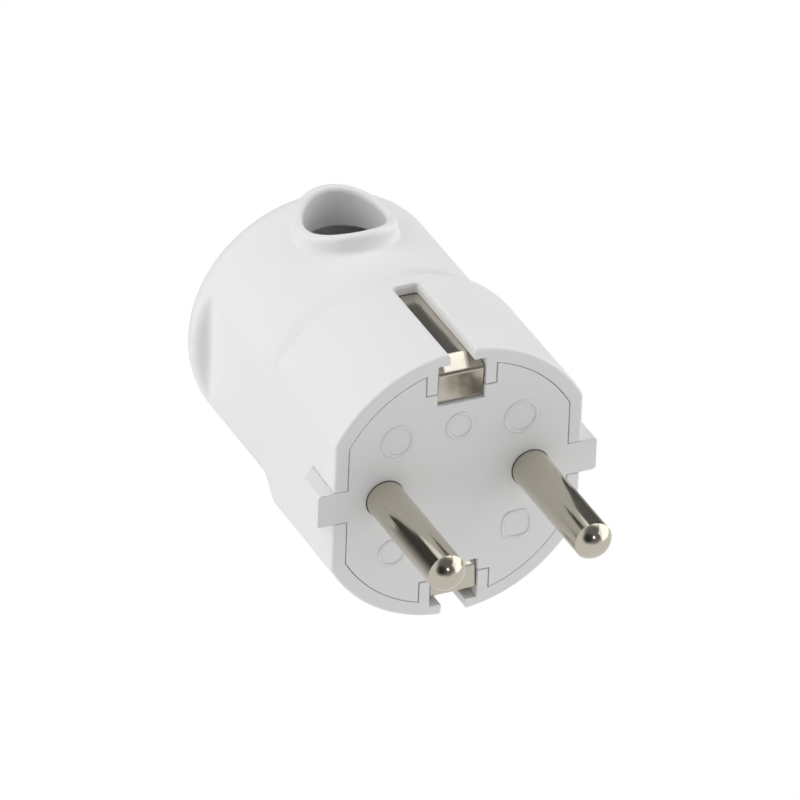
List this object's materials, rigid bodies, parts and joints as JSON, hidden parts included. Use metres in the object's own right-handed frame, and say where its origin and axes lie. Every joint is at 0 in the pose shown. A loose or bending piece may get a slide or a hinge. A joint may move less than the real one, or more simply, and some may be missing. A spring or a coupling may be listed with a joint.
{
  "type": "type f plug",
  "caption": "Angled rewireable two-pin earthed mains plug: round moulded hood with side flats, pin carrier with guide lugs, earth strap in top and bottom slots, cable entry on top.",
  "frame": {"origin": "centre of the mating face, midway between the two pins", "axes": "+Z along the pins, so the part stands on the hood's rear end; +Y towards the cable entry; +X to the right seen from the pin side with the cable entry up"},
  "size_m": [0.0364, 0.0373, 0.0624],
  "materials": {
    "white_shell": "smooth moulded white, semi gloss",
    "grey_plastic": "moulded light grey",
    "nickel_brass": "turned brass, nickel plated, polished",
    "nickel_strip": "bent brass strip, nickel plated",
    "plated_steel": "zinc plated steel"
  },
  "bodies": {
    "root": {"hood": "white_shell", "pin_carrier": "white_shell", "pin_left": "nickel_brass", "pin_right": "nickel_brass", "earth_strap": "nickel_strip", "terminal_screw_left": "plated_steel", "terminal_screw_right": "plated_steel", "pin_retainer": "grey_plastic", "clamp_bar": "grey_plastic", "clamp_screw_left": "plated_steel", "clamp_screw_right": "plated_steel", "earth_washer": "plated_steel", "earth_screw": "plated_steel", "housing_screw": "plated_steel", "housing_nut": "plated_steel"}
  },
  "joints": []
}
